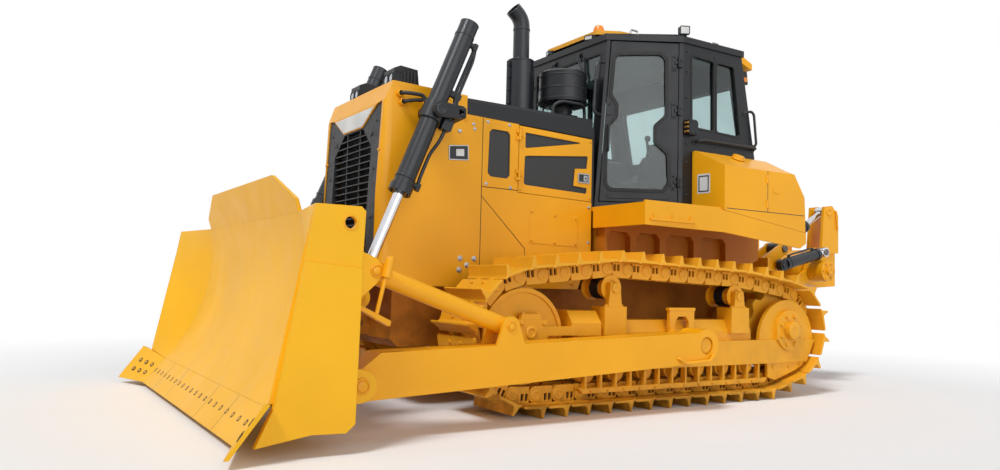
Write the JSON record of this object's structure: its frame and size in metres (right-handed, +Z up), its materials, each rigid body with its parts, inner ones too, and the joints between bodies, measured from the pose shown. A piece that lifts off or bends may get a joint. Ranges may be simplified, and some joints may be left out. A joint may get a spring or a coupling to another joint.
{
  "type": "crawler bulldozer",
  "caption": "Crawler bulldozer with a curved front blade on push arms, closed cab, engine hood with side doors, long tracks and a rear ripper.",
  "frame": {"origin": "on the ground at the middle of the overall length and width", "axes": "+X forward to the blade, +Y to the machine's left, +Z up"},
  "size_m": [6.99, 3.96, 3.5769],
  "materials": {
    "yellow_paint": "semi-gloss",
    "dark_paint": "satin",
    "black_plastic": "matte",
    "track_steel": "satin",
    "bare_steel": "satin",
    "rod_chrome": "polished",
    "tinted_glass": "polished",
    "seat_cover": "matte"
  },
  "bodies": {
    "base": {"track_left": "track_steel", "track_right": "track_steel", "track_frames": "yellow_paint", "idlers": "yellow_paint", "sprockets": "bare_steel", "rollers": "yellow_paint", "main_frame": "yellow_paint", "engine_block": "dark_paint", "radiator_cowl": "yellow_paint", "grille": "black_plastic", "hood": "dark_paint", "side_panels": "yellow_paint", "exhaust_stack": "dark_paint", "precleaner": "black_plastic", "deck": "yellow_paint", "tanks": "yellow_paint", "cab_floor": "dark_paint", "cab_front": "dark_paint", "cab_side_left": "dark_paint", "cab_side_right": "dark_paint", "cab_rear": "dark_paint", "cab_roof": "yellow_paint", "cab_glass": "tinted_glass", "seat": "seat_cover", "console": "black_plastic", "lamps": "dark_paint", "lift_yokes": "dark_paint", "ripper_mount": "yellow_paint"},
    "blade": {"mouldboard": "yellow_paint", "cutting_edge": "yellow_paint", "blade_frame": "yellow_paint", "push_arms": "yellow_paint", "strut_left": "yellow_paint", "tilt_cylinder": "dark_paint"},
    "lift_barrels": {"lift_barrels": "dark_paint"},
    "lift_rods": {"lift_rods": "rod_chrome"},
    "ripper_link": {"ripper_link": "yellow_paint"},
    "ripper_pins": {"ripper_pins": "yellow_paint"},
    "ripper_beam": {"ripper_beam": "yellow_paint", "ripper_shank": "yellow_paint"},
    "upper_pins": {"upper_pins": "bare_steel"},
    "tilt_barrels": {"tilt_barrels": "dark_paint"},
    "tilt_rods": {"tilt_rods": "rod_chrome"},
    "rip_lift_barrels": {"rip_lift_barrels": "dark_paint"},
    "rip_lift_rods": {"rip_lift_rods": "rod_chrome"},
    "cab_door_left": {"cab_door_left": "dark_paint", "door_glass_left": "tinted_glass"},
    "cab_door_right": {"cab_door_right": "dark_paint", "door_glass_right": "tinted_glass"},
    "engine_door_left": {"engine_door_left": "yellow_paint"},
    "engine_door_right": {"engine_door_right": "yellow_paint"}
  },
  "joints": [
    {"name": "blade_lift", "type": "hinge", "parent": "base", "child": "blade", "pos_m": [-0.378, 0, 0.532], "axis": [0, -1, 0], "range_deg": [-8, 15.5]},
    {"name": "lift_barrel_swing", "type": "hinge", "parent": "base", "child": "lift_barrels", "pos_m": [1.772, 0, 2.282], "axis": [0, -1, 0], "range_deg": [-4, 8]},
    {"name": "lift_rod_slide", "type": "slide", "parent": "lift_barrels", "child": "lift_rods", "axis": [0.376, 0, -0.9266], "range_m": [-0.73, 0.38]},
    {"name": "ripper_lift", "type": "hinge", "parent": "base", "child": "ripper_link", "pos_m": [-2.225, 0, 0.77], "axis": [0, 1, 0], "range_deg": [-45, 0]},
    {"name": "ripper_level", "type": "hinge", "parent": "ripper_link", "child": "ripper_pins", "pos_m": [-2.993, 0, 1.219], "axis": [0, 1, 0], "range_deg": [0, 45]},
    {"name": "ripper_tilt", "type": "hinge", "parent": "ripper_pins", "child": "ripper_beam", "pos_m": [-2.993, 0, 1.219], "axis": [0, 1, 0], "range_deg": [-12, 12]},
    {"name": "upper_pin_turn", "type": "hinge", "parent": "base", "child": "upper_pins", "pos_m": [-2.555, 0, 1.44], "axis": [0, 1, 0], "range_deg": [-45, 0]},
    {"name": "tilt_barrel_swing", "type": "hinge", "parent": "upper_pins", "child": "tilt_barrels", "pos_m": [-2.555, 0, 1.44], "axis": [0, 1, 0], "range_deg": [-9, 9]},
    {"name": "tilt_rod_slide", "type": "slide", "parent": "tilt_barrels", "child": "tilt_rods", "axis": [-0.8633, 0, 0.5047], "range_m": [-0.09, 0.09]},
    {"name": "rip_lift_barrel_swing", "type": "hinge", "parent": "base", "child": "rip_lift_barrels", "pos_m": [-2.345, 0, 1.26], "axis": [0, 1, 0], "range_deg": [-48, 0]},
    {"name": "rip_lift_rod_slide", "type": "slide", "parent": "rip_lift_barrels", "child": "rip_lift_rods", "axis": [-0.9734, 0, 0.229], "range_m": [0, 0.39]},
    {"name": "cab_door_left_swing", "type": "hinge", "parent": "base", "child": "cab_door_left", "pos_m": [-0.7097, 0.9426, 2.5], "axis": [0, 0, 1], "range_deg": [0, 110]},
    {"name": "cab_door_right_swing", "type": "hinge", "parent": "base", "child": "cab_door_right", "pos_m": [-0.7097, -0.9426, 2.5], "axis": [0, 0, -1], "range_deg": [0, 110]},
    {"name": "engine_door_left_swing", "type": "hinge", "parent": "base", "child": "engine_door_left", "pos_m": [0.828, 0.636, 2.05], "axis": [0, 0, -1], "range_deg": [0, 95]},
    {"name": "engine_door_right_swing", "type": "hinge", "parent": "base", "child": "engine_door_right", "pos_m": [0.828, -0.636, 2.05], "axis": [0, 0, 1], "range_deg": [0, 95]}
  ],
  "couplings": [
    {"joint": "lift_barrel_swing", "follows": "blade_lift", "ratio": 0.4666},
    {"joint": "lift_rod_slide", "follows": "blade_lift", "m_per_rad": -2.6772},
    {"joint": "ripper_level", "follows": "ripper_lift", "ratio": -1},
    {"joint": "upper_pin_turn", "follows": "ripper_lift", "ratio": 1},
    {"joint": "rip_lift_barrel_swing", "follows": "ripper_lift", "ratio": 1.0625},
    {"joint": "rip_lift_rod_slide", "follows": "ripper_lift", "m_per_rad": -0.4826},
    {"joint": "tilt_barrel_swing", "follows": "ripper_tilt", "ratio": 0.699},
    {"joint": "tilt_rod_slide", "follows": "ripper_tilt", "m_per_rad": -0.4123}
  ]
}
